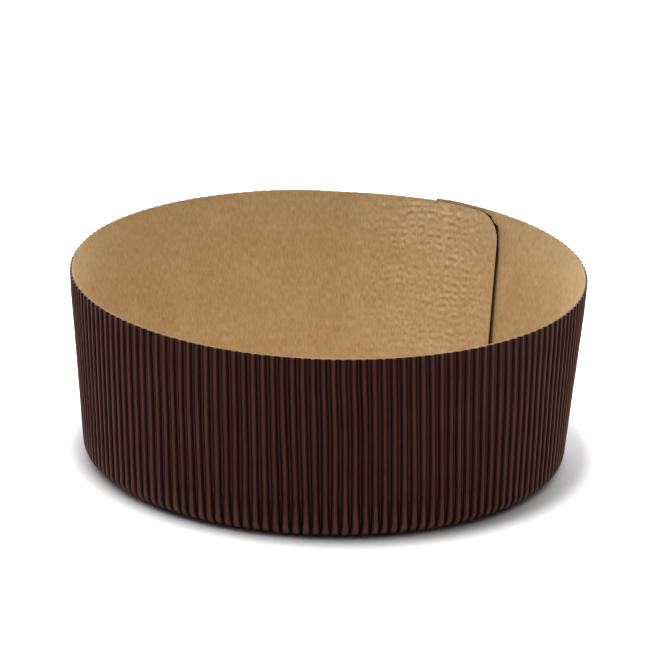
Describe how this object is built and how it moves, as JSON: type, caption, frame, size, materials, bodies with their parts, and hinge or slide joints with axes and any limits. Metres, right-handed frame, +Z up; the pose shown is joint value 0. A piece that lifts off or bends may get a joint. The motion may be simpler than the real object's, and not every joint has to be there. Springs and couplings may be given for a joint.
{
  "type": "corrugated paper baking mould",
  "caption": "Low round baking mould of fluted dark paper glued to a smooth kraft liner, lapped at a seam, turned in under a glued-in board disc.",
  "frame": {"origin": "on the table, on the axis of the ring", "axes": "+Z up along the axis of the ring, -Y towards the viewer of the picture, the flap of the seam between +X and +Y"},
  "size_m": [0.17, 0.1695, 0.063],
  "materials": {
    "fluted_paper": "dark brown, matt, with a dull sheen on the crests",
    "kraft_liner": "matt kraft",
    "kraft_board": "matt kraft"
  },
  "bodies": {
    "root": {"fluted_wall": "fluted_paper", "wall_liner": "kraft_liner", "base_disc": "kraft_board"}
  },
  "joints": []
}
